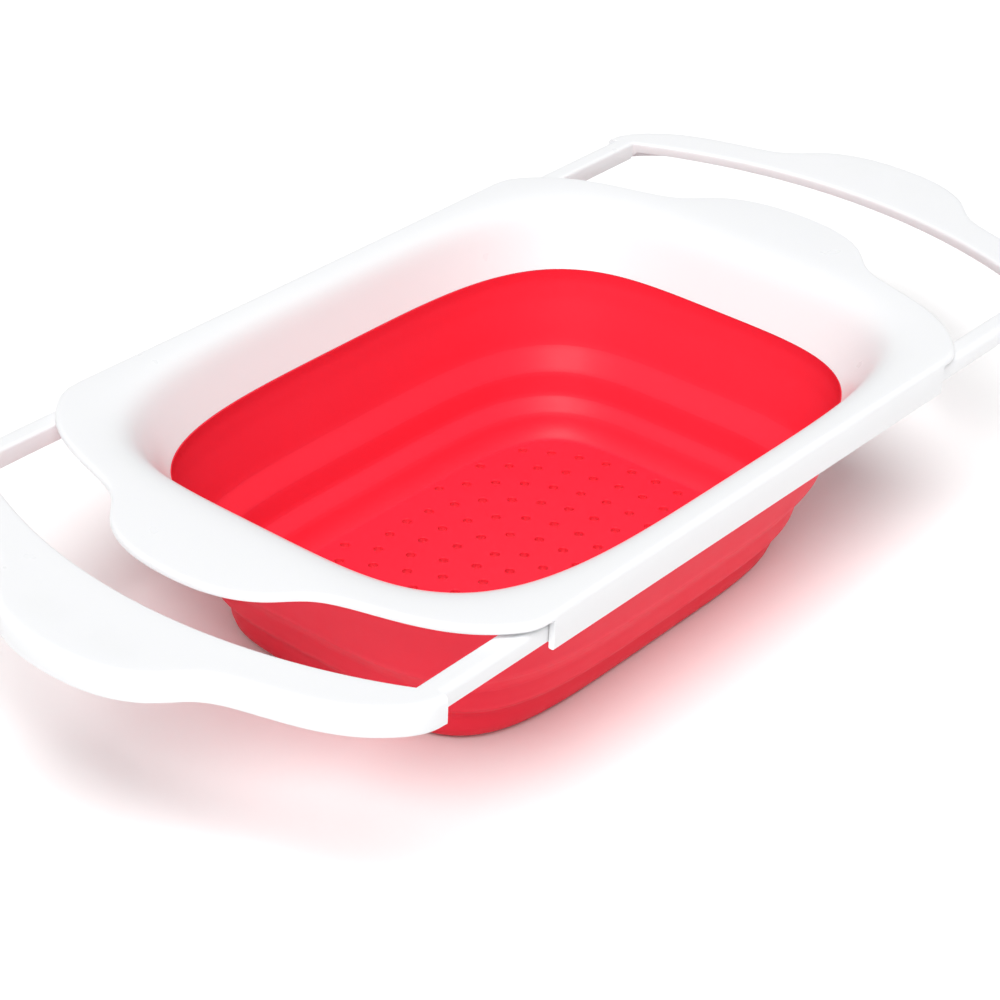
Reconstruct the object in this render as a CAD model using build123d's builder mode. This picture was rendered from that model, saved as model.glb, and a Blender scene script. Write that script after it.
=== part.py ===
"""Over-the-sink collapsible colander: white frame, two pull-out arms, red folding bowl.

Millimetres.  X runs along the object, Y across it, +Z up.  The origin is the middle of the
bowl's underside, where the colander rests.  The arms are shown partly pulled out.
"""
import os
from math import cos, pi, sin

from build123d import *

# Driving dimensions
TOP = 92.0                      # frame's top face above the table
FRAME_HALF_WIDTH = 112.0
PLATE = 3.2                     # thickness of the frame's top plate
FLANGE = 2.4                    # wall of the dished flange round the bowl
SKIRT_DEPTH = 14.6
SKIRT_WALL = 2.2
SKIRT_HALF_LENGTH = 118.0       # the long straight sides end here
GAP = 0.2                       # room between neighbouring pieces

# Rounded loops: half length, half width, squareness, height
RIM_LOOP = (145.6, 102.3, 4.2, TOP)
DISH_LOOP = (140.0, 97.2, 4.1, TOP - 5)
LIP_LOOP = (128.0, 90.5, 3.8, TOP - 24)

# Half of one end of the frame's outline, from the long side to the grip tab's middle
END_CORNER = [(SKIRT_HALF_LENGTH, FRAME_HALF_WIDTH), (125.5, 111.2), (134.8, 105.6), (144.5, 94.5)]
END_WAVE = [(151.8, 79.5), (157.6, 61.0), (164.0, 46.5), (174.5, 36.0), (182.3, 22.0), (185.3, 0.0)]

# Arms
ARM_TOP = TOP - 5.0
ARM_PLATE = 3.0
ARM_SKIRT = 2.5
ARM_SKIRT_DEPTH = 11.0
ARM_LIP_DEPTH = 4.5             # turned-down inner edge of the grip
GRIP_MIDDLE = 147.5             # inner edge of the grip when pushed in, at the middle
GRIP_SIDE = 122.2               # and at the rails
RAIL_INNER = 101.2
RAIL_OUTER = 109.4
RAIL_DEPTH = 7.6
RAIL_WALL = 1.7
RAIL_TIP = 8.0                  # distance from the middle when pushed in
STOP_LENGTH = 4.8
STOP_TAB = 1.5                  # how far the stop reaches in beyond its rail
STOP_PLUG = 9.0
STOP_FIT = 0.05
STOP_DROP = 0.3                 # the stop's head sits this far below the rail's top
LEFT_PULL = 52.0                # how far each arm is out as shown
RIGHT_PULL = 80.0
CORNER_X = SKIRT_HALF_LENGTH + 1.0   # where the grip steps in to the rails
OVERLAP = 1.0                   # how far joined shapes run into each other
PAD_X = 170.0
PAD_Y = 15.0
PAD_SIZE = (8.0, 18.0)
PAD_CORNER = 2.0
PAD_SEAT_BOTTOM = ARM_TOP - ARM_SKIRT_DEPTH + 1.0
PAD_HEIGHT = 2.4

# Channel covers and their screws
COVER_TOP = TOP - SKIRT_DEPTH + 1.7
COVER_BOTTOM = TOP - SKIRT_DEPTH + 0.1
COVER_INNER = 96.9
COVER_OUTER = 109.6
COVER_HALF_LENGTH = 116.0
COVER_CORNER = 2.0
BOSS_X = 102.8
BOSS_Y = 98.6
BOSS_RADIUS = 2.2
SCREW_RADIUS = 1.1
SCREW_FIT = 0.05
SCREW_TIP = TOP - 7.0
HEAD_RADIUS = 2.2
HEAD_HEIGHT = 1.4
HEAD_BOTTOM = COVER_BOTTOM - GAP / 2 - HEAD_HEIGHT
RECESS_LENGTH = 2.6             # cross recess of each screw
RECESS_WIDTH = 0.6
RECESS_DEPTH = 0.7

# Bowl: inside loops from the lip down; each band's wall is added outside them
WALL = 2.2
FOLD_WALL = 1.2
WALL_TOP = (127.5, 89.5, 3.8, TOP - 24)
WALL_FOOT = (119.0, 84.0, 4.0, TOP - 55)
MIDDLE_TOP = (112.0, 78.0, 4.1, TOP - 64)
MIDDLE_FOOT = (109.5, 76.0, 4.2, TOP - 74)
BASE_TOP = (105.0, 70.5, 4.3, TOP - 79)
BASE_KNEE = (103.0, 68.5, 4.5, TOP - 84)
FLOOR_LOOP = (99.0, 65.0, 4.6, TOP - 89)
BASE_HEEL = (105.2, 70.7, 4.6, 5.0)
BASE_SOLE = (101.5, 67.0, 4.6, 0.0)
BEAD = 1.8
BEAD_FIT = 0.15
BEAD_TOP = TOP - 20
BEAD_FOOT = TOP - 28

# Drain holes: ring k has HOLES_PER_RING * k of them
HOLE_RADIUS = 1.9
RING_PITCH = 13.3
RINGS = 7
HOLES_PER_RING = 7
RING_TURNS = [14.5, -12.2, -3.9, 0.1, 3.5, -3.0, -0.5]
HOLE_LIMIT = (95.0, 61.0, 4.6)
LOOP_POINTS = 40

UP = (Align.CENTER, Align.CENTER, Align.MIN)
DOWN = (Align.CENTER, Align.CENTER, Align.MAX)


def reach(loop, angle):
    """Distance from the middle to a rounded loop, in the direction of angle."""
    along = abs(cos(angle) / loop[0]) ** loop[2]
    across = abs(sin(angle) / loop[1]) ** loop[2]
    return (along + across) ** (-1 / loop[2])


def grown(loop, amount, height=None):
    """A loop made larger all round by amount, and moved to height."""
    level = loop[3] if height is None else height
    return (loop[0] + amount, loop[1] + amount, loop[2], level)


def between(upper, lower, height):
    """The loop at height on the straight band from upper to lower."""
    share = (upper[3] - height) / (upper[3] - lower[3])
    return tuple(a + (b - a) * share for a, b in zip(upper, lower))


def loop_sketch(loop):
    """A rounded loop as a flat face at its own height."""
    angles = [2 * pi * step / LOOP_POINTS for step in range(LOOP_POINTS)]
    points = [(reach(loop, a) * cos(a), reach(loop, a) * sin(a)) for a in angles]
    with BuildSketch(Plane.XY.offset(loop[3])) as sketch:
        with BuildLine():
            Spline(*points, periodic=True)
        make_face()
    return sketch.sketch


def stack(levels, mode=Mode.ADD):
    """Straight-sided solid through the given loops, from the top one down."""
    for upper, lower in zip(levels, levels[1:]):
        loft(sections=[loop_sketch(upper), loop_sketch(lower)], mode=mode)


def band(levels, wall):
    """Ring-shaped wall whose inside follows levels."""
    stack([grown(level, wall) for level in levels])
    stack(levels, mode=Mode.SUBTRACT)


def end_outline(side, shift=0.0):
    """Points of one wavy end, from the +Y long side round to the -Y one."""
    half = [(x + shift, y) for x, y in END_CORNER + END_WAVE]
    mirrored = [(x, -y) for x, y in reversed(half[:-1])]
    return [(side * x, y) for x, y in half + mirrored]


def frame_outline():
    """Outer edge of the whole frame as one closed wire, inside a line builder."""
    for side in (1, -1):
        points = end_outline(side)
        Spline(*points)
        edge_y = side * FRAME_HALF_WIDTH
        Line((-SKIRT_HALF_LENGTH, edge_y), (SKIRT_HALF_LENGTH, edge_y))


# The frame: top plate, dished flange, long skirts and screw bosses in one moulding
screw_spots = [(x, y) for x in (-BOSS_X, 0, BOSS_X) for y in (-BOSS_Y, BOSS_Y)]
skirt_middle = FRAME_HALF_WIDTH - SKIRT_WALL / 2
flange_levels = [RIM_LOOP, DISH_LOOP, LIP_LOOP]
with BuildPart() as frame_top:
    with BuildSketch(Plane.XY.offset(TOP - PLATE)):
        with BuildLine():
            frame_outline()
        make_face()
    extrude(amount=PLATE)
    for side in (-1, 1):
        with Locations((0, side * skirt_middle, TOP - SKIRT_DEPTH)):
            Box(2 * SKIRT_HALF_LENGTH, SKIRT_WALL, SKIRT_DEPTH - PLATE + OVERLAP, align=UP)
    with Locations(*[(x, y, COVER_TOP + GAP) for x, y in screw_spots]):
        Cylinder(BOSS_RADIUS, TOP - PLATE - COVER_TOP, align=UP)
    stack([grown(level, FLANGE) for level in flange_levels])
    stack(flange_levels, mode=Mode.SUBTRACT)
    with Locations(*[(x, y, COVER_TOP) for x, y in screw_spots]):
        Cylinder(SCREW_RADIUS + SCREW_FIT, SCREW_TIP + OVERLAP / 2 - COVER_TOP, align=UP, mode=Mode.SUBTRACT)
frame_top.part.label = "frame_top"


def channel_cover(side):
    """Strip under one long side that keeps the rails in their channel."""
    with BuildPart() as cover:
        with Locations((0, side * (COVER_INNER + COVER_OUTER) / 2, COVER_BOTTOM)):
            Box(2 * COVER_HALF_LENGTH, COVER_OUTER - COVER_INNER, COVER_TOP - COVER_BOTTOM, align=UP)
        fillet(cover.edges().filter_by(Axis.Z), COVER_CORNER)
        with Locations(*[(x, side * BOSS_Y, COVER_BOTTOM) for x in (-BOSS_X, 0, BOSS_X)]):
            Cylinder(SCREW_RADIUS + SCREW_FIT, 2 * (COVER_TOP - COVER_BOTTOM) + OVERLAP, mode=Mode.SUBTRACT)
    return cover.part


def channel_screws(side):
    """The three self-tapping screws of one cover."""
    with BuildPart() as screws:
        with Locations(*[(x, side * BOSS_Y, HEAD_BOTTOM) for x in (-BOSS_X, 0, BOSS_X)]):
            Cylinder(HEAD_RADIUS, HEAD_HEIGHT, align=UP)
            Cylinder(SCREW_RADIUS, SCREW_TIP - HEAD_BOTTOM, align=UP)
            Box(RECESS_LENGTH, RECESS_WIDTH, 2 * RECESS_DEPTH, mode=Mode.SUBTRACT)
            Box(RECESS_WIDTH, RECESS_LENGTH, 2 * RECESS_DEPTH, mode=Mode.SUBTRACT)
    return screws.part


def grip_outline(side, pull):
    """Closed edge of the grip plate, inside a line builder."""
    corner_x = side * (CORNER_X + pull)
    side_x = side * (GRIP_SIDE + pull)
    wave = end_outline(side, pull)
    rim = Spline((corner_x, FRAME_HALF_WIDTH), *wave[1:-1], (corner_x, -FRAME_HALF_WIDTH))
    Line((corner_x, FRAME_HALF_WIDTH), (corner_x, RAIL_INNER))
    Line((corner_x, RAIL_INNER), (side_x, RAIL_INNER))
    ThreePointArc((side_x, RAIL_INNER), (side * (GRIP_MIDDLE + pull), 0), (side_x, -RAIL_INNER))
    Line((side_x, -RAIL_INNER), (corner_x, -RAIL_INNER))
    Line((corner_x, -RAIL_INNER), rim @ 1)


def hollow_outline(side, pull):
    """Edge of the hollow under the grip plate, one skirt's thickness inside its outline."""
    inner_x = side * (GRIP_SIDE + ARM_SKIRT + pull)
    half = FRAME_HALF_WIDTH - ARM_SKIRT
    squeeze = half / FRAME_HALF_WIDTH
    wave = [(x, y * squeeze) for x, y in end_outline(side, pull - ARM_SKIRT)[2:-2]]
    rim = Spline((inner_x, half), *wave, (inner_x, -half))
    side_y = RAIL_INNER - ARM_SKIRT
    Line((inner_x, half), (inner_x, side_y))
    ThreePointArc((inner_x, side_y), (side * (GRIP_MIDDLE + ARM_SKIRT + pull), 0), (inner_x, -side_y))
    Line((inner_x, -side_y), rim @ 1)


def arm(side, pull):
    """One pull-out arm: grip plate, turned-down edges, two open-bottomed rails, pad seats."""
    bottom = ARM_TOP - ARM_SKIRT_DEPTH
    edge_x = side * (GRIP_SIDE - OVERLAP + pull)
    edge_middle = side * (GRIP_MIDDLE - OVERLAP + pull)
    edge_shift = side * (ARM_SKIRT + 1.1 * OVERLAP)
    rail_length = GRIP_SIDE - RAIL_TIP + OVERLAP
    rail_x = side * (RAIL_TIP + pull + rail_length / 2)
    rail_y = (RAIL_INNER + RAIL_OUTER) / 2
    rail_width = RAIL_OUTER - RAIL_INNER
    with BuildPart() as body:
        with BuildSketch(Plane.XY.offset(bottom)):
            with BuildLine():
                grip_outline(side, pull)
            make_face()
        extrude(amount=ARM_SKIRT_DEPTH)
        with BuildSketch(Plane.XY.offset(bottom)):
            with BuildLine():
                hollow_outline(side, pull)
            make_face()
        extrude(amount=ARM_SKIRT_DEPTH - ARM_PLATE, mode=Mode.SUBTRACT)
        with BuildSketch(Plane.XY.offset(bottom)):
            with BuildLine():
                ThreePointArc((edge_x, RAIL_INNER), (edge_middle, 0), (edge_x, -RAIL_INNER))
                Line((edge_x, -RAIL_INNER), (edge_x + edge_shift, -RAIL_INNER))
                ThreePointArc((edge_x + edge_shift, -RAIL_INNER), (edge_middle + edge_shift, 0),
                              (edge_x + edge_shift, RAIL_INNER))
                Line((edge_x + edge_shift, RAIL_INNER), (edge_x, RAIL_INNER))
            make_face()
        extrude(amount=ARM_SKIRT_DEPTH - ARM_LIP_DEPTH, mode=Mode.SUBTRACT)
        for row in (-1, 1):
            with Locations((rail_x, row * rail_y, ARM_TOP)):
                Box(rail_length, rail_width, RAIL_DEPTH, align=DOWN)
            with Locations((rail_x, row * rail_y, ARM_TOP - RAIL_WALL)):
                Box(rail_length, rail_width - 2 * RAIL_WALL, RAIL_DEPTH, align=DOWN, mode=Mode.SUBTRACT)
            with Locations((side * (PAD_X + pull), row * PAD_Y, PAD_SEAT_BOTTOM)):
                Box(*PAD_SIZE, ARM_TOP - OVERLAP - PAD_SEAT_BOTTOM, align=UP)
    return body.part


def rail_stop(side, row, pull):
    """Block plugged into a rail's tip, with a tab that meets the end screw's boss."""
    tip_x = side * (RAIL_TIP + pull)
    tab_inner = RAIL_INNER - STOP_TAB
    head_outer = RAIL_OUTER - GAP
    head_y = row * (tab_inner + head_outer) / 2
    plug_y = row * (RAIL_INNER + RAIL_OUTER) / 2
    plug_width = RAIL_OUTER - RAIL_INNER - 2 * (RAIL_WALL + STOP_FIT)
    with BuildPart() as stop:
        with Locations((tip_x - side * STOP_LENGTH / 2, head_y, ARM_TOP - STOP_DROP)):
            Box(STOP_LENGTH, head_outer - tab_inner, RAIL_DEPTH - STOP_DROP, align=DOWN)
        with Locations((tip_x + side * STOP_PLUG / 2, plug_y, ARM_TOP - RAIL_WALL - STOP_FIT)):
            Box(STOP_PLUG, plug_width, RAIL_DEPTH - RAIL_WALL - STOP_DROP, align=DOWN)
    return stop.part


def rest_pads(side, pull):
    """The two soft pads under one grip, which rest on the sink's rim."""
    with BuildPart() as pads:
        for row in (-1, 1):
            with BuildSketch(Plane.XY.offset(PAD_SEAT_BOTTOM - PAD_HEIGHT)):
                with Locations((side * (PAD_X + pull), row * PAD_Y)):
                    RectangleRounded(*PAD_SIZE, PAD_CORNER)
            extrude(amount=PAD_HEIGHT)
    return pads.part


def straight_band(upper, lower, wall):
    """A bowl band that stops GAP short of its neighbours at both ends."""
    top = between(upper, lower, upper[3] - GAP / 2)
    foot = between(upper, lower, lower[3] + GAP / 2)
    with BuildPart() as ring:
        band([top, foot], wall)
    return ring.part


# The bowl's lip bead, gripping the flange's edge from outside
with BuildPart() as bowl_lip_bead:
    band(
        [
            grown(between(DISH_LOOP, LIP_LOOP, BEAD_TOP), FLANGE + BEAD_FIT),
            grown(LIP_LOOP, FLANGE + BEAD_FIT),
            grown(between(WALL_TOP, WALL_FOOT, BEAD_FOOT), WALL + BEAD_FIT),
        ],
        BEAD,
    )

# The stiff heel round the bowl's floor
with BuildPart() as bowl_heel:
    stack([grown(BASE_TOP, WALL, BASE_TOP[3] - GAP / 2), BASE_HEEL, BASE_SOLE])
    stack([BASE_TOP, BASE_KNEE, FLOOR_LOOP, grown(FLOOR_LOOP, 0, 0)], mode=Mode.SUBTRACT)

# The flat floor with its rings of drain holes
with BuildPart() as bowl_floor:
    stack([grown(FLOOR_LOOP, -GAP / 2), grown(FLOOR_LOOP, -GAP / 2, 0)])
    holes = [(0.0, 0.0)]
    for ring in range(1, RINGS + 1):
        for step in range(HOLES_PER_RING * ring):
            angle = 2 * pi * step / (HOLES_PER_RING * ring) + RING_TURNS[ring - 1] * pi / 180
            if RING_PITCH * ring < reach(HOLE_LIMIT, angle):
                holes.append((RING_PITCH * ring * cos(angle), RING_PITCH * ring * sin(angle)))
    with BuildSketch(Plane.XY.offset(-OVERLAP)):
        with Locations(*holes):
            Circle(HOLE_RADIUS)
    extrude(amount=FLOOR_LOOP[3] + 2 * OVERLAP, mode=Mode.SUBTRACT)

pieces = {
    "frame_top": frame_top.part,
    "front_channel_cover": channel_cover(-1),
    "rear_channel_cover": channel_cover(1),
    "front_channel_screws": channel_screws(-1),
    "rear_channel_screws": channel_screws(1),
    "bowl_lip_bead": bowl_lip_bead.part,
    "bowl_upper_wall": straight_band(WALL_TOP, WALL_FOOT, WALL),
    "bowl_upper_fold": straight_band(WALL_FOOT, MIDDLE_TOP, FOLD_WALL),
    "bowl_middle_wall": straight_band(MIDDLE_TOP, MIDDLE_FOOT, WALL),
    "bowl_lower_fold": straight_band(MIDDLE_FOOT, BASE_TOP, FOLD_WALL),
    "bowl_heel": bowl_heel.part,
    "bowl_floor": bowl_floor.part,
}
for hand, side, pull in (("left", -1, LEFT_PULL), ("right", 1, RIGHT_PULL)):
    pieces[hand + "_arm"] = arm(side, pull)
    pieces[hand + "_rest_pads"] = rest_pads(side, pull)
    for end, row in (("front", -1), ("rear", 1)):
        pieces[hand + "_" + end + "_rail_stop"] = rail_stop(side, row, pull)

os.makedirs("parts", exist_ok=True)
for name, piece in pieces.items():
    piece.label = name
    export_step(piece, f"parts/{name}.step")
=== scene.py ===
"""Looks for the over-the-sink collapsible colander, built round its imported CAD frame.

Sizes are in millimetres up to the point where a mesh is made, and metres in Blender.
X runs along the object, Y across it, +Z up; the origin is the middle of the bowl's underside.
"""
from math import cos, pi, radians, sin

import bmesh
import bpy
import numpy as np
from mathutils import Matrix, Vector


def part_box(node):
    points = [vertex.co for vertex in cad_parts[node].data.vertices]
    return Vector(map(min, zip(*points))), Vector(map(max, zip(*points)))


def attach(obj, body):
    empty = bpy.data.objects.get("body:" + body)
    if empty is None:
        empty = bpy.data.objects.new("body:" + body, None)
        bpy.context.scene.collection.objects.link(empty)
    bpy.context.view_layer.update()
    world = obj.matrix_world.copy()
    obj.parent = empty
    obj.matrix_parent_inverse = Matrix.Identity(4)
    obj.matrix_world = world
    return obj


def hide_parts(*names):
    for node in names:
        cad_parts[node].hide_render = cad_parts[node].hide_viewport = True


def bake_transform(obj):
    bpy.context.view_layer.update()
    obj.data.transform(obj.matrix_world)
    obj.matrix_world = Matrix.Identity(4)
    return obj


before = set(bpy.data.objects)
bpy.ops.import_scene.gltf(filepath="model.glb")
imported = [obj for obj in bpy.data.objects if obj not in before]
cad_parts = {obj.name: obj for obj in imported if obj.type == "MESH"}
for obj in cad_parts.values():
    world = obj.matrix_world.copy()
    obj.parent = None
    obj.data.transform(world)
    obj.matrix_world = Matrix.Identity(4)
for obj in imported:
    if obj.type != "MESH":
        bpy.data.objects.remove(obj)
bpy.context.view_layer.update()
MM = 0.001


def node_box(node):
    """Lowest and highest corner of a CAD node at rest, in millimetres."""
    low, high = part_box(node)
    return np.array(low) / MM, np.array(high) / MM


# ---------------------------------------------------------------- sizes from the frame
frame_high = node_box("frame_top")[1]
left_low, left_high = node_box("left_arm")
right_high = node_box("right_arm")[1]
floor_low, floor_high = node_box("bowl_floor")

TOP = frame_high[2]
HALF_LENGTH = frame_high[0]
HALF_WIDTH = frame_high[1]
LEFT_PULL = -left_low[0] - HALF_LENGTH
RIGHT_PULL = right_high[0] - HALF_LENGTH
ARM_TOP = left_high[2]

# ---------------------------------------------------------------- sizes of the mouldings
PLATE = 3.2
FLANGE = 2.4
# The flange is thinner near the rim: it starts to thicken at one share of the way in, over another
FLANGE_START = 0.2
FLANGE_RUN = 0.35
FLANGE_DROP = 1.1
FLANGE_EASE = 0.9
FOOT_ROUND = 0.7
END_ROUND = 1.7
EXTRA_SKIRT_ROUND = 0.8
EXTRA_ROUND_FROM = 80.0
SKIRT_DEPTH = 14.6
SKIRT_WALL = 2.2
SKIRT_HALF_LENGTH = 118.0
END_HALF = [(118.0, 112.0), (125.5, 111.2), (134.8, 105.6), (144.5, 94.5), (151.8, 79.5),
            (157.6, 61.0), (164.0, 46.5), (174.5, 36.0), (182.3, 22.0), (185.3, 0.0)]

# Rounded loops: half length, half width, squareness, height below the frame's top
RIM_LOOP = (145.6, 102.3, 4.2, 0.0)
LIP_LOOP = (128.0, 90.5, 3.8, -24.0)
# The dish from rim to lip: share of the way in, and height
DISH = [(-0.62, -0.05), (-0.40, -0.15), (-0.20, -0.45), (0.0, -1.1), (0.15, -2.2), (0.28, -3.9),
        (0.40, -6.3), (0.52, -9.6), (0.64, -13.2), (0.76, -16.8), (0.88, -20.3), (1.0, -23.6)]

GRIP_MIDDLE = 147.5
GRIP_SIDE = 122.2
CORNER_X = 119.0
RAIL_INNER = 101.2
RAIL_OUTER = 109.4
RAIL_DEPTH = 7.6
RAIL_TIP = 8.0
GRIP_DEPTH = 11.0
GRIP_LIP = 4.5
ARM_WALL = 1.9
ARM_FOOT_ROUND = 0.6
RAIL_ROUND = 2.6
EXTRA_GRIP_ROUND = 0.6
ARM_PLATE = 2.2
INNER_ROUND = 1.4
PAD_LENGTH = 18.0
BOSS_RADIUS = 2.2
BOSS_DROP = 9.8
SCREW_HEAD = 2.2

WALL_TOP = (127.6, 89.6, 3.8, -23.8)
WALL_FOOT = (119.0, 84.0, 4.0, -55.0)
MIDDLE_TOP = (112.0, 78.0, 4.1, -64.0)
MIDDLE_FOOT = (109.5, 76.0, 4.2, -74.0)
BASE_TOP = (105.0, 70.5, 4.3, -79.0)
FLOOR_LOOP = (97.0, 63.0, 4.6, -89.0)
WALL = 2.1

HOLE_RADIUS = 1.9
RING_PITCH = 13.3
RINGS = 7
HOLES_PER_RING = 7
RING_TURNS = [14.5, -12.2, -3.9, 0.1, 3.5, -3.0, -0.5]
HOLE_LIMIT = (95.0, 61.0, 4.6)

COLUMNS = 288
SHARP_ANGLE = radians(38)


# ---------------------------------------------------------------- curves and loops
def reach(loop, angle):
    """Distance from the middle to a rounded loop, in the direction of angle."""
    along = abs(cos(angle) / loop[0]) ** loop[2]
    across = abs(sin(angle) / loop[1]) ** loop[2]
    return (along + across) ** (-1 / loop[2])


def mix(a, b, share):
    return tuple(p + (q - p) * share for p, q in zip(a, b))


def on_loop(loop, angle, grow=0.0):
    """Point on a loop that is grown by grow all round."""
    r = reach((loop[0] + grow, loop[1] + grow, loop[2]), angle)
    return np.array([r * cos(angle), r * sin(angle), TOP + loop[3]])


def smooth_line(points, count):
    """count points along the natural cubic curve through points, evenly spaced."""
    p = np.array(points, float)
    t = np.concatenate([[0], np.cumsum(np.linalg.norm(np.diff(p, axis=0), axis=1))])
    h = np.diff(t)
    size = len(p)
    left = np.eye(size)
    right = np.zeros_like(p)
    for i in range(1, size - 1):
        left[i, i - 1:i + 2] = h[i - 1], 2 * (h[i - 1] + h[i]), h[i]
        right[i] = 6 * ((p[i + 1] - p[i]) / h[i] - (p[i] - p[i - 1]) / h[i - 1])
    bend = np.linalg.solve(left, right)
    u = np.linspace(0, t[-1], count * 6)
    k = np.clip(np.searchsorted(t, u) - 1, 0, size - 2)
    a, b = (t[k + 1] - u)[:, None], (u - t[k])[:, None]
    hk = h[k][:, None]
    line = (bend[k] * a ** 3 + bend[k + 1] * b ** 3) / (6 * hk)
    line += (p[k] / hk - bend[k] * hk / 6) * a + (p[k + 1] / hk - bend[k + 1] * hk / 6) * b
    return evenly(line, count)


def evenly(line, count):
    """A polyline resampled to count evenly spaced points."""
    length = np.concatenate([[0], np.cumsum(np.linalg.norm(np.diff(line, axis=0), axis=1))])
    wanted = np.linspace(0, length[-1], count)
    return np.stack([np.interp(wanted, length, line[:, i]) for i in range(line.shape[1])], axis=1)


def end_curve(count):
    """One wavy end of the frame, from its +Y corner round to its -Y one."""
    points = END_HALF + [(x, -y) for x, y in reversed(END_HALF[:-1])]
    return smooth_line(points, count)


# ---------------------------------------------------------------- meshes
def mesh_object(name, columns, ring=True, extras=()):
    """Closed skin over columns of points, each a closed profile; ring joins the last column to the first."""
    points = np.array(columns, float) * MM
    rows, size = points.shape[:2]
    faces = []
    for i in range(rows if ring else rows - 1):
        k = (i + 1) % rows
        for j in range(size):
            m = (j + 1) % size
            faces.append((i * size + j, k * size + j, k * size + m, i * size + m))
    if not ring:
        faces.append(tuple(reversed(range(size))))
        faces.append(tuple((rows - 1) * size + j for j in range(size)))
    mesh = bpy.data.meshes.new(name)
    mesh.from_pydata(points.reshape(-1, 3).tolist(), [], faces)
    return finished(name, merged(mesh, extras))


def merged(mesh, parts):
    """Adds bmeshes to a mesh, and frees them."""
    whole = bmesh.new()
    whole.from_mesh(mesh)
    for part in parts:
        extra = bpy.data.meshes.new("extra")
        part.to_mesh(extra)
        part.free()
        whole.from_mesh(extra)
        bpy.data.meshes.remove(extra)
    whole.to_mesh(mesh)
    whole.free()
    return mesh


def joined(name, parts):
    """One object from several bmeshes."""
    return finished(name, merged(bpy.data.meshes.new(name), parts))


def finished(name, mesh, sharp=SHARP_ANGLE):
    """A clean, smooth-shaded object from a mesh, with its sharp edges marked."""
    bm = bmesh.new()
    bm.from_mesh(mesh)
    bmesh.ops.remove_doubles(bm, verts=bm.verts, dist=1e-6)
    bmesh.ops.dissolve_degenerate(bm, edges=bm.edges, dist=1e-6)
    bmesh.ops.recalc_face_normals(bm, faces=bm.faces)
    for face in bm.faces:
        face.smooth = True
    for edge in bm.edges:
        edge.smooth = len(edge.link_faces) != 2 or edge.calc_face_angle(0) < sharp
    bm.to_mesh(mesh)
    bm.free()
    piece = bpy.data.objects.new(name, mesh)
    bpy.context.scene.collection.objects.link(piece)
    return piece


def rounded(start, turn, end, radius, steps=5):
    """Points of a corner at turn, between start and end, rounded with a quadratic of that reach."""
    start, turn, end = (np.array(v, float) for v in (start, turn, end))
    a = turn + (start - turn) / max(np.linalg.norm(start - turn), 1e-9) * radius
    b = turn + (end - turn) / max(np.linalg.norm(end - turn), 1e-9) * radius
    t = np.linspace(0, 1, steps)[:, None]
    return list((1 - t) ** 2 * a + 2 * t * (1 - t) * turn + t ** 2 * b)


def block(low, high, edge, steps=3):
    """Mesh data of a box between two corners, with its edges rounded."""
    bm = bmesh.new()
    bmesh.ops.create_cube(bm, size=1)
    middle = (np.array(low) + np.array(high)) / 2 * MM
    size = (np.array(high) - np.array(low)) * MM
    for vert in bm.verts:
        vert.co = [m + s * c for m, s, c in zip(middle, size, vert.co)]
    bmesh.ops.bevel(bm, geom=list(bm.edges), offset=edge * MM, segments=steps, affect="EDGES", profile=0.5)
    return bm


def turned(profile, centre, recess=0.0, count=40):
    """Mesh data of a turned solid: profile is (radius, height); a cross is sunk into its first, flat end."""
    bm = bmesh.new()
    rings = []
    for radius, height in profile:
        ring = []
        for step in range(count):
            angle = 2 * pi * step / count
            x, y = radius * cos(angle), radius * sin(angle)
            slot = min(abs(x), abs(y))
            sunk = recess if slot < 0.33 and radius < 1.35 else 0.0
            ring.append(bm.verts.new(((centre[0] + x) * MM, (centre[1] + y) * MM, (height + sunk) * MM)))
        rings.append(ring)
    for one, other in zip(rings, rings[1:]):
        for step in range(count):
            k = (step + 1) % count
            bm.faces.new((one[step], one[k], other[k], other[step]))
    bm.faces.new(rings[0])
    bm.faces.new(list(reversed(rings[-1])))
    return bm


# ---------------------------------------------------------------- materials
def new_material(name, color, roughness):
    material = bpy.data.materials.new(name)
    material.use_nodes = True
    shader = material.node_tree.nodes["Principled BSDF"]
    shader.inputs["Base Color"].default_value = (*color, 1)
    shader.inputs["Roughness"].default_value = roughness
    return material, material.node_tree, shader


def noise(tree, scale, detail=3.0, roughness=0.5):
    where = tree.nodes.new("ShaderNodeTexCoord")
    node = tree.nodes.new("ShaderNodeTexNoise")
    node.inputs["Scale"].default_value = scale
    node.inputs["Detail"].default_value = detail
    node.inputs["Roughness"].default_value = roughness
    tree.links.new(where.outputs["Object"], node.inputs["Vector"])
    return node.outputs["Fac"]


def ranged(tree, value, low, high):
    node = tree.nodes.new("ShaderNodeMapRange")
    node.inputs["To Min"].default_value = low
    node.inputs["To Max"].default_value = high
    tree.links.new(value, node.inputs["Value"])
    return node.outputs["Result"]


def colour_between(tree, value, first, second):
    node = tree.nodes.new("ShaderNodeMix")
    node.data_type = "RGBA"
    node.inputs["A"].default_value = (*first, 1)
    node.inputs["B"].default_value = (*second, 1)
    tree.links.new(value, node.inputs["Factor"])
    return node.outputs["Result"]


def add_bump(tree, shader, value, distance, strength=1.0):
    node = tree.nodes.new("ShaderNodeBump")
    node.inputs["Distance"].default_value = distance
    node.inputs["Strength"].default_value = strength
    tree.links.new(value, node.inputs["Height"])
    tree.links.new(node.outputs["Normal"], shader.inputs["Normal"])


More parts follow.
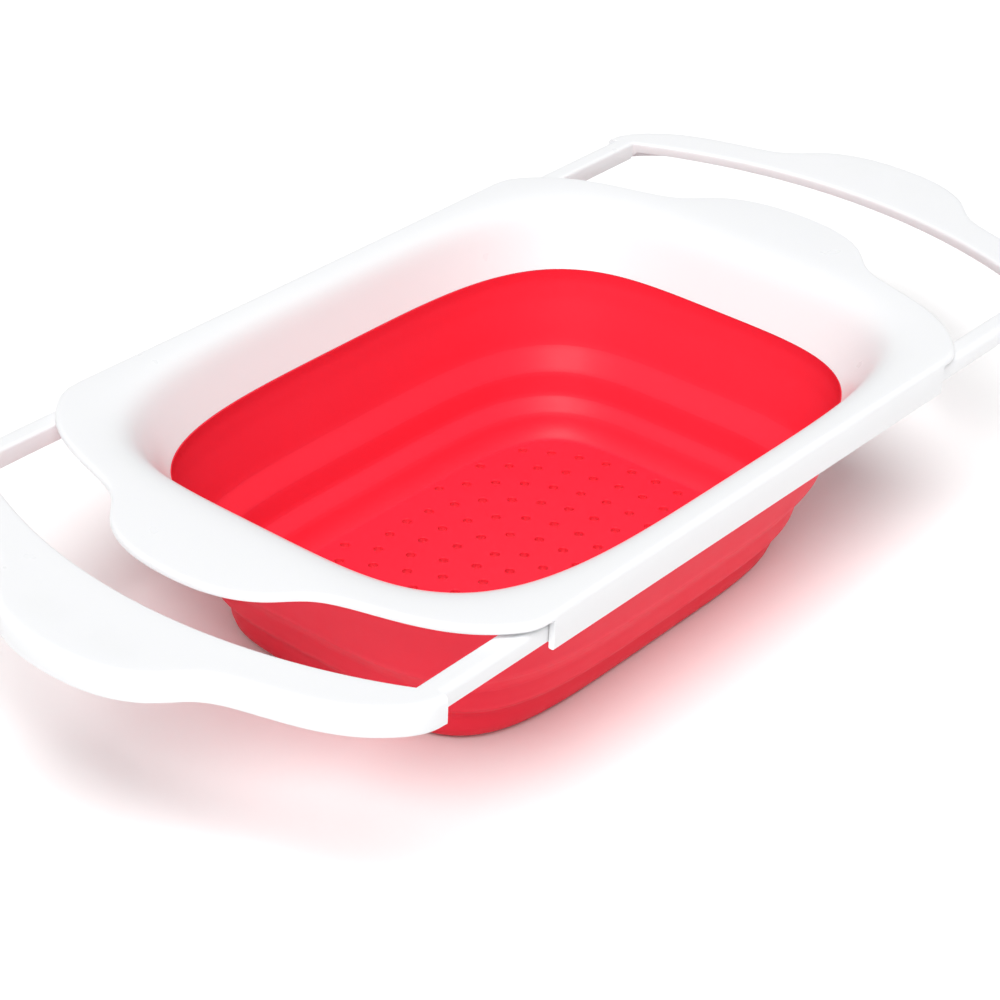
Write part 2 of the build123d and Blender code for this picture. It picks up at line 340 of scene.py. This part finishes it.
def white_plastic():
    """Glossy moulded white: faint flow marks, a fine skin and slightly uneven gloss."""
    material, tree, shader = new_material("white_plastic", (0.86, 0.87, 0.885), 0.3)
    tint = ranged(tree, noise(tree, 14, 2), 0.2, 0.8)
    tree.links.new(colour_between(tree, tint, (0.81, 0.82, 0.835), (0.835, 0.84, 0.85)),
                   shader.inputs["Base Color"])
    tree.links.new(ranged(tree, noise(tree, 60, 4), 0.24, 0.36), shader.inputs["Roughness"])
    add_bump(tree, shader, noise(tree, 420, 3), 0.00004, 0.5)
    shader.inputs["Subsurface Weight"].default_value = 0.08
    shader.inputs["Subsurface Radius"].default_value = (0.004, 0.004, 0.0045)
    shader.inputs["Subsurface Scale"].default_value = 1.0
    shader.inputs["IOR"].default_value = 1.49
    return material


def matte_plastic():
    """Fine matt plastic of the covers and stops."""
    material, tree, shader = new_material("cover_plastic", (0.78, 0.79, 0.80), 0.55)
    tree.links.new(ranged(tree, noise(tree, 90, 4), 0.48, 0.62), shader.inputs["Roughness"])
    add_bump(tree, shader, noise(tree, 900, 2), 0.00006, 0.6)
    return material


def zinc_steel():
    """Zinc plated steel, slightly cloudy."""
    material, tree, shader = new_material("screw_steel", (0.62, 0.62, 0.64), 0.32)
    shader.inputs["Metallic"].default_value = 1.0
    tree.links.new(ranged(tree, noise(tree, 700, 4), 0.24, 0.45), shader.inputs["Roughness"])
    add_bump(tree, shader, noise(tree, 1500, 2), 0.00002, 0.5)
    return material


def pad_rubber():
    """Soft matt rubber with a fine grain."""
    material, tree, shader = new_material("pad_rubber", (0.62, 0.63, 0.64), 0.7)
    tree.links.new(ranged(tree, noise(tree, 240, 3), 0.62, 0.8), shader.inputs["Roughness"])
    add_bump(tree, shader, noise(tree, 1300, 2), 0.0001, 0.6)
    return material


def red_silicone():
    """Satin red silicone: soft translucency, cloudy colour and a fine matt skin."""
    material, tree, shader = new_material("red_silicone", (0.85, 0.022, 0.049), 0.5)
    cloud = ranged(tree, noise(tree, 22, 3), 0.25, 0.75)
    tree.links.new(colour_between(tree, cloud, (0.82, 0.018, 0.043), (0.88, 0.026, 0.055)),
                   shader.inputs["Base Color"])
    tree.links.new(ranged(tree, noise(tree, 120, 4), 0.44, 0.56), shader.inputs["Roughness"])
    add_bump(tree, shader, noise(tree, 800, 3), 0.00005, 0.5)
    shader.inputs["Subsurface Weight"].default_value = 0.15
    shader.inputs["Subsurface Radius"].default_value = (0.0025, 0.0004, 0.0004)
    shader.inputs["Subsurface Scale"].default_value = 1.0
    shader.inputs["IOR"].default_value = 1.41
    shader.inputs["Specular IOR Level"].default_value = 0.35
    return material


MATERIALS = {"white_plastic": white_plastic(), "cover_plastic": matte_plastic(), "screw_steel": zinc_steel(),
             "pad_rubber": pad_rubber(), "red_silicone": red_silicone()}


def dress(piece, slot, body, *nodes):
    """Gives a new piece its material, its body and the CAD nodes that it stands for."""
    piece.data.materials.clear()
    piece.data.materials.append(MATERIALS[slot])
    if body:
        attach(piece, body)
    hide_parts(*nodes)
    return piece


# ---------------------------------------------------------------- frame moulding
def screw_spots(row):
    """Where the three screws of one long side stand."""
    low, high = node_box(row + "_channel_screws")
    y = (low[1] + high[1]) / 2
    outermost = high[0] - SCREW_HEAD
    return [(x, y) for x in (-outermost, 0, outermost)]


def frame_column(angle, skirted):
    """Closed cross-section of the frame in one direction from the middle."""
    edge, inward = frame_edge(angle)
    depth = SKIRT_DEPTH if skirted else PLATE
    wall = inward * SKIRT_WALL

    def at(point, drop):
        return np.array([point[0], point[1], TOP - drop])

    foot_out, foot_in = at(edge, depth), at(edge + wall, depth)
    shoulder = at(edge, 0)
    rim_out = on_loop(mix(RIM_LOOP, LIP_LOOP, DISH[0][0]), angle)
    rim_out[2] = TOP + DISH[0][1]
    nearness = np.clip((abs(edge[1]) - EXTRA_ROUND_FROM) / (HALF_WIDTH - EXTRA_ROUND_FROM), 0, 1)
    column = rounded(foot_in, foot_out, shoulder, FOOT_ROUND, 3)
    column += rounded(foot_out, shoulder, rim_out, END_ROUND + EXTRA_SKIRT_ROUND * nearness, 8)
    for share, height in DISH:
        point = on_loop(mix(RIM_LOOP, LIP_LOOP, share), angle)
        point[2] = TOP + height
        column.append(point)
    for share, height in reversed(DISH[4:]):
        full = np.clip((share - FLANGE_START) / FLANGE_RUN, 0, 1)
        point = on_loop(mix(RIM_LOOP, LIP_LOOP, share), angle, FLANGE * full)
        point[2] = TOP + min(height - FLANGE_DROP + FLANGE_EASE * full, -PLATE)
        column.append(point)
    inner_shoulder = at(edge + wall * 1.05, PLATE)
    column.append(inner_shoulder)
    column += rounded(inner_shoulder, foot_in, foot_out, 0.5 if skirted else 0.02, 3)
    return column


end_outline = end_curve(900)
end_angles = np.arctan2(end_outline[:, 1], end_outline[:, 0])


def frame_edge(angle):
    """Outline point in one direction, and the unit normal that points inwards there."""
    corner = np.arctan2(HALF_WIDTH, SKIRT_HALF_LENGTH)
    folded = abs((angle + pi / 2) % pi - pi / 2)
    if folded >= corner - 1e-9:
        y = HALF_WIDTH if angle % (2 * pi) < pi else -HALF_WIDTH
        x = y / np.tan(angle) if abs(folded - pi / 2) > 1e-9 else 0.0
        return np.array([x, y]), np.array([0.0, -np.sign(y)])
    side = 1 if cos(angle) > 0 else -1
    local = np.arctan2(sin(angle), abs(cos(angle)))
    k = len(end_angles) - 1 - np.searchsorted(end_angles[::-1], local)
    k = int(np.clip(k, 1, len(end_outline) - 3))
    span = end_angles[k] - end_angles[k + 1]
    share = np.clip((end_angles[k] - local) / span, 0, 1)
    point = end_outline[k] + (end_outline[k + 1] - end_outline[k]) * share
    along = end_outline[k + 2] - end_outline[k - 1]
    inward = np.array([along[1], -along[0]]) / np.linalg.norm(along)
    return point * (side, 1), inward * (side, 1)


def screw_bosses():
    """Round bosses under the plate that take the cover screws."""
    foot = node_box("front_channel_cover")[1][2] + 0.2
    profile = [(BOSS_RADIUS, foot), (BOSS_RADIUS, TOP - BOSS_DROP)]
    return [turned(profile, spot) for row in ("front", "rear") for spot in screw_spots(row)]


def make_frame():
    corner = float(np.arctan2(HALF_WIDTH, SKIRT_HALF_LENGTH))
    ends = np.linspace(-corner, corner, 150)
    sides = np.linspace(corner, pi - corner, 90)
    columns = []
    for turn in (0, pi):
        columns += [frame_column(a + turn, False) for a in ends]
        columns += [frame_column(a + turn, True) for a in sides]
    return mesh_object("frame_moulding", columns, extras=screw_bosses())


dress(make_frame(), "white_plastic", "frame", "frame_top")


# ---------------------------------------------------------------- arms
def arm_column(outer, inner, outer_depth, inner_depth, outer_round, side):
    """Closed cross-section of an arm between its outer and inner edge."""
    across = (inner - outer) / np.linalg.norm(inner - outer)

    def at(point, drop):
        return np.array([side * point[0], point[1], ARM_TOP - drop])

    wall = across * ARM_WALL
    foot_out, foot_in = at(outer, outer_depth), at(inner, inner_depth)
    top_out, top_in = at(outer, 0), at(inner, 0)
    column = rounded(at(outer + wall, outer_depth), foot_out, top_out, ARM_FOOT_ROUND, 3)
    column += rounded(foot_out, top_out, top_in, outer_round, 8)
    width = np.linalg.norm(inner - outer)
    first, last = outer_round / width, 1 - INNER_ROUND / width
    for share in np.linspace(first, last, 7)[1:-1]:
        column.append(at(outer + (inner - outer) * share, 0))
    column += rounded(top_out, top_in, foot_in, INNER_ROUND, 6)
    column += rounded(top_in, foot_in, at(inner - wall, inner_depth), 0.5, 3)
    column.append(at(inner - wall, inner_depth))
    column.append(at(inner - wall, ARM_PLATE))
    column.append(at(outer + wall, ARM_PLATE))
    column.append(at(outer + wall, outer_depth))
    return column


def pad_spots(hand):
    """Lowest and highest corner of each of an arm's two rest pads."""
    low, high = node_box(hand + "_rest_pads")
    return [(low, (high[0], low[1] + PAD_LENGTH, high[2])), ((low[0], high[1] - PAD_LENGTH, low[2]), high)]


def pad_seats(hand):
    """Bosses under the grip that the rest pads are stuck to."""
    seats = []
    for low, high in pad_spots(hand):
        seats.append(block((low[0], low[1], high[2]), (high[0], high[1], ARM_TOP - ARM_PLATE + 0.5), 0.4))
    return seats


def make_arm(name, hand, side, pull):
    """Rail, grip and rail of one arm as a single moulding."""
    half = 90
    rim = end_curve(2 * half + 1)[:half + 1] + (pull, 0)
    rim[0] = (CORNER_X + pull, HALF_WIDTH)
    radius = (RAIL_INNER ** 2 + (GRIP_MIDDLE - GRIP_SIDE) ** 2) / (2 * (GRIP_MIDDLE - GRIP_SIDE))
    sweep = np.linspace(np.arcsin(RAIL_INNER / radius), 0, half - 3)
    arc = np.stack([GRIP_MIDDLE - radius + radius * np.cos(sweep), radius * np.sin(sweep)], axis=1)
    run_up = np.linspace((CORNER_X, RAIL_INNER), (GRIP_SIDE, RAIL_INNER), 5)[:4]
    inside = np.concatenate([run_up, arc]) + (pull, 0)
    columns = []
    for x in np.linspace(RAIL_TIP, CORNER_X, 12):
        columns.append(((x + pull, RAIL_OUTER), (x + pull, RAIL_INNER), RAIL_DEPTH, RAIL_DEPTH, RAIL_ROUND))
    for step in range(half + 1):
        share = min(step / 8, 1)
        inner_depth = RAIL_DEPTH + (GRIP_LIP - RAIL_DEPTH) * max(0, min((step - 3) / 3, 1))
        edge_round = RAIL_ROUND + EXTRA_GRIP_ROUND * share
        columns.append((rim[step], inside[step], GRIP_DEPTH, inner_depth, edge_round))
    mirrored = [((o[0], -o[1]), (i[0], -i[1]), a, b, c) for o, i, a, b, c in reversed(columns[:-1])]
    cuts = [arm_column(np.array(o), np.array(i), a, b, c, side) for o, i, a, b, c in columns + mirrored]
    return mesh_object(name, cuts, ring=False, extras=pad_seats(hand))


for hand, side, pull in (("left", -1, LEFT_PULL), ("right", 1, RIGHT_PULL)):
    dress(make_arm(hand + "_arm_moulding", hand, side, pull), "white_plastic", hand + "_arm", hand + "_arm")


# ---------------------------------------------------------------- bowl
def bowl_ring(name, inside, outside, count=COLUMNS):
    """Closed ring whose inner and outer faces follow lists of loops, from the top down."""
    columns = []
    for step in range(count):
        angle = 2 * pi * step / count
        column = [on_loop(loop, angle) for loop in inside]
        column += [on_loop(loop, angle) for loop in reversed(outside)]
        columns.append(column)
    return mesh_object(name, columns)


PROFILE = [WALL_TOP, WALL_FOOT, MIDDLE_TOP, MIDDLE_FOOT, BASE_TOP, (103.0, 68.5, 4.5, -84.0), FLOOR_LOOP]
# Wall thickness, and how far the inside is set back just below the frame's lip, by height
THICKNESS = [(-24, WALL), (-53, WALL), (-57, 1.4), (-62, 1.4), (-66, WALL), (-72, WALL), (-75.5, 1.4),
             (-77.5, 1.4), (-80, WALL), (-92, WALL)]
SETBACK = [(-24, 0.4), (-28, 1.0), (-36, 1.0), (-46, 0.4), (-55.5, 0.0)]


def by_height(table, height, blur):
    """Value from a table of (height, value), evened out over blur on either side."""
    spots = height + np.linspace(-blur, blur, 9)
    rising = sorted(table)
    return float(np.mean(np.interp(spots, [z for z, _ in rising], [v for _, v in rising])))


def bowl_loop(height, outside=False):
    """The bowl's inner or outer face as a loop at one height."""
    tables = [[(loop[3], loop[k]) for loop in PROFILE] for k in range(3)]
    length, width, power = (by_height(table, height, 1.3) for table in tables)
    grow = by_height(THICKNESS, height, 0.8) if outside else by_height(SETBACK, height, 0.6)
    return (length + grow, width + grow, power, height)


def bowl_band(name, top, foot, steps):
    """Ring of the bowl's wall between two heights."""
    heights = np.linspace(top, foot, steps)
    return bowl_ring(name, [bowl_loop(z) for z in heights], [bowl_loop(z, True) for z in heights])


def fold_band(name, top, foot, node):
    """A thin band of the bowl's wall between two heights, with its placement baked into its mesh."""
    fold = dress(bowl_band(name, top, foot, 12), "red_silicone", None, node)
    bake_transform(fold)


upper_wall = bowl_band("upper_wall", WALL_TOP[3], WALL_FOOT[3], 22)
dress(upper_wall, "red_silicone", "frame", "bowl_upper_wall")
middle_wall = bowl_band("middle_wall", MIDDLE_TOP[3], MIDDLE_FOOT[3], 10)
dress(middle_wall, "red_silicone", "bowl_middle", "bowl_middle_wall")
fold_band("upper_fold", WALL_FOOT[3], MIDDLE_TOP[3], "bowl_upper_fold")
fold_band("lower_fold", MIDDLE_FOOT[3], BASE_TOP[3], "bowl_lower_fold")


def heel():
    """Low wall and rounded heel round the floor."""
    inside = [bowl_loop(z) for z in (-79.0, -80.0, -81.2, -82.4)]
    inside += [(102.9, 68.4, 4.5, -84.2), (101.4, 67.0, 4.55, -86.6),
               (99.8, 65.5, 4.6, -88.3), (98.8, 64.7, 4.6, -88.9), (98.0, 64.0, 4.6, -89.0)]
    outside = [bowl_loop(-79.0, True), bowl_loop(-80.5, True)]
    outside += [(106.4, 71.9, 4.45, -82.4), (105.8, 71.3, 4.55, -85.5), (104.7, 70.2, 4.6, -88.6),
                (102.6, 68.1, 4.6, -90.9), (100.0, 65.7, 4.6, -91.85),
               (98.0, 64.0, 4.6, -92.0)]
    return bowl_ring("floor_heel", inside, outside)


dress(heel(), "red_silicone", "bowl_base", "bowl_heel")


def floor_plate():
    """Flat floor with rings of drain holes, their edges softened."""
    curve = bpy.data.curves.new("floor_curve", "CURVE")
    curve.dimensions = "2D"
    curve.fill_mode = "BOTH"
    edge = 0.25
    thickness = (floor_high[2] - floor_low[2]) / 2
    curve.extrude = (thickness - edge) * MM
    curve.bevel_depth = edge * MM
    curve.bevel_resolution = 2

    def add_loop(points):
        spline = curve.splines.new("POLY")
        spline.points.add(len(points) - 1)
        spline.use_cyclic_u = True
        for target, (x, y) in zip(spline.points, points):
            target.co = (x * MM, y * MM, 0, 1)

    turns = [2 * pi * step / 200 for step in range(200)]
    rim = (98.0, 64.0, 4.6)
    add_loop([(reach(rim, a) * cos(a), reach(rim, a) * sin(a)) for a in turns])
    holes = [(0.0, 0.0)]
    for ring in range(1, RINGS + 1):
        for step in range(HOLES_PER_RING * ring):
            angle = 2 * pi * step / (HOLES_PER_RING * ring) + radians(RING_TURNS[ring - 1])
            if RING_PITCH * ring < reach(HOLE_LIMIT, angle):
                holes.append((RING_PITCH * ring * cos(angle), RING_PITCH * ring * sin(angle)))
    radius = HOLE_RADIUS + edge
    for x, y in holes:
        circle = [2 * pi * step / 40 for step in range(40)]
        add_loop([(x + radius * cos(a), y + radius * sin(a)) for a in circle])
    holder = bpy.data.objects.new("floor_curve", curve)
    mesh = bpy.data.meshes.new_from_object(holder)
    bpy.data.objects.remove(holder)
    mesh.transform(Matrix.Translation((0, 0, (floor_high[2] + floor_low[2]) / 2 * MM)))
    return finished("drain_floor", mesh, radians(10))


dress(floor_plate(), "red_silicone", "bowl_base", "bowl_floor")


def lip_bead():
    """Thick lip of the bowl that grips the flange's edge from outside."""
    inside, outside = [], []
    for share, height in ((0.80, -18.6), (0.88, -20.6), (0.94, -22.3), (1.0, -24.2)):
        loop = mix(RIM_LOOP, LIP_LOOP, share)
        inside.append((loop[0] + FLANGE + 0.1, loop[1] + FLANGE + 0.1, loop[2], height))
    foot = bowl_loop(-28.0, True)
    inside.append((foot[0] + 0.1, foot[1] + 0.1, foot[2], foot[3]))
    swell = (0.3, 1.5, 1.9, 1.8, 0.4)
    for loop, extra in zip(inside, swell):
        outside.append((loop[0] + extra, loop[1] + extra, loop[2], loop[3]))
    return bowl_ring("lip_bead", inside, outside)


dress(lip_bead(), "red_silicone", "frame", "bowl_lip_bead")


# ---------------------------------------------------------------- small parts
def channel_cover(row):
    """Cover strip with two shallow ribs along it."""
    low, high = node_box(row + "_channel_cover")
    rib = 0.35
    parts = [block(low + (0, 0, rib), high, 0.45)]
    for share in (0.12, 0.88):
        y = low[1] + (high[1] - low[1]) * share
        parts.append(block((low[0] + 3, y - 0.6, low[2]), (high[0] - 3, y + 0.6, low[2] + 0.9), 0.3, 2))
    return joined(row + "_cover", parts)


def channel_screws(row):
    """Three pan-head screws with cross recesses."""
    low, high = node_box(row + "_channel_screws")
    base, tip = low[2], high[2]
    profile = [(r, base) for r in (0.15, 0.3, 0.5, 0.7, 0.9, 1.1, 1.3, 1.4, 1.6)]
    profile += [(1.9, base + 0.1), (2.1, base + 0.35), (SCREW_HEAD, base + 0.7),
                (SCREW_HEAD, base + 1.4), (1.1, base + 1.4)]
    turn = base + 1.8
    while turn < tip - 1.2:
        profile += [(1.1, turn), (0.9, turn + 0.35), (1.1, turn + 0.7)]
        turn += 0.75
    profile += [(0.8, tip - 0.4), (0.15, tip)]
    return joined(row + "_screws", [turned(profile, spot, 0.7) for spot in screw_spots(row)])


def rail_stop(node):
    """Stop with its tab towards the screw boss, and its plug inside the rail."""
    low, high = node_box(node)
    side = -1 if node.startswith("left") else 1
    row = 1 if "rear" in node else -1
    head = 4.8
    head_low, head_high = low.copy(), high.copy()
    if side < 0:
        head_low[0] = high[0] - head
    else:
        head_high[0] = low[0] + head
    plug_low, plug_high = low.copy(), high.copy()
    plug_low[2], plug_high[2] = ARM_TOP - 7.3, ARM_TOP - 1.8
    inner, outer = RAIL_INNER + 1.8, RAIL_OUTER - 1.8
    plug_low[1], plug_high[1] = sorted((row * inner, row * outer))
    return joined(node + "_block", [block(head_low, head_high, 0.5), block(plug_low, plug_high, 0.3, 2)])


def rest_pads(hand):
    """Two soft pads with shallow grip ribs."""
    parts = []
    for low, high in pad_spots(hand):
        parts.append(block((low[0], low[1], low[2] + 0.3), high, 0.8, 4))
        for rib in range(6):
            spot = low[1] + 2.2 + rib * 2.4
            rib_high = (high[0] - 1.2, spot + 1.2, low[2] + 0.8)
            parts.append(block((low[0] + 1.2, spot, low[2]), rib_high, 0.25, 2))
    return joined(hand + "_pads", parts)


for row in ("front", "rear"):
    dress(channel_cover(row), "cover_plastic", "frame", row + "_channel_cover")
    dress(channel_screws(row), "screw_steel", "frame", row + "_channel_screws")
for hand in ("left", "right"):
    dress(rest_pads(hand), "pad_rubber", hand + "_arm", hand + "_rest_pads")
    for row in ("front", "rear"):
        node = f"{hand}_{row}_rail_stop"
        dress(rail_stop(node), "cover_plastic", hand + "_arm", node)

# ---------------------------------------------------------------- stage, light and camera
scene = bpy.context.scene
scene.view_settings.view_transform = "Standard"
scene.view_settings.look = "None"


def pale_floor():
    mesh = bpy.data.meshes.new("floor_sheet")
    size = 6.0
    corners = [(-size, -size, 0), (size, -size, 0), (size, size, 0), (-size, size, 0)]
    mesh.from_pydata(corners, [], [(0, 1, 2, 3)])
    sheet = bpy.data.objects.new("floor_sheet", mesh)
    scene.collection.objects.link(sheet)
    material, _, shader = new_material("pale_floor", (0.97, 0.97, 0.97), 0.9)
    shader.inputs["Specular IOR Level"].default_value = 0.0
    mesh.materials.append(material)


pale_floor()


def soft_sun(name, azimuth, height, strength, spread):
    """Even light from a far source: azimuth from +X towards +Y, height above the table, in degrees."""
    data = bpy.data.lights.new(name, "SUN")
    data.energy = strength
    data.angle = radians(spread)
    lamp = bpy.data.objects.new(name, data)
    towards = Vector((cos(radians(azimuth)) * cos(radians(height)),
                      sin(radians(azimuth)) * cos(radians(height)), sin(radians(height))))
    lamp.rotation_euler = towards.to_track_quat("Z", "Y").to_euler()
    scene.collection.objects.link(lamp)


soft_sun("key", 214, 60, 3.3, 40)


def studio_world():
    """Bright near the horizon, dim overhead, as in a room with white walls."""
    world = bpy.data.worlds.new("studio")
    world.use_nodes = True
    tree = world.node_tree
    where = tree.nodes.new("ShaderNodeTexCoord")
    parts = tree.nodes.new("ShaderNodeSeparateXYZ")
    tree.links.new(where.outputs["Generated"], parts.inputs["Vector"])
    level = tree.nodes.new("ShaderNodeMapRange")
    level.interpolation_type = "SMOOTHSTEP"
    level.inputs["From Min"].default_value = 0.45
    level.inputs["From Max"].default_value = 0.8
    level.inputs["To Min"].default_value = 0.5
    level.inputs["To Max"].default_value = 0.16
    tree.links.new(parts.outputs["Z"], level.inputs["Value"])
    tree.links.new(level.outputs["Result"], tree.nodes["Background"].inputs["Strength"])
    tree.nodes["Background"].inputs["Color"].default_value = (1.0, 1.0, 1.0, 1)
    scene.world = world


studio_world()


def place_camera():
    """Camera from the front left, looking down; angles in degrees."""
    yaw, pitch, roll = radians(38.39), radians(31.39), radians(-2.61)
    forward = Vector((cos(yaw) * cos(pitch), sin(yaw) * cos(pitch), -sin(pitch)))
    level_right = forward.cross(Vector((0, 0, 1))).normalized()
    level_down = forward.cross(level_right)
    right = level_right * cos(roll) + level_down * sin(roll)
    down = level_down * cos(roll) - level_right * sin(roll)
    data = bpy.data.cameras.new("camera")
    data.sensor_width = 36
    data.lens = 101.85
    camera = bpy.data.objects.new("camera", data)
    rotation = Matrix((right, -down, -forward)).transposed().to_4x4()
    camera.matrix_world = Matrix.Translation((-0.7275, -0.5699, 0.5989)) @ rotation
    scene.collection.objects.link(camera)
    scene.camera = camera


place_camera()
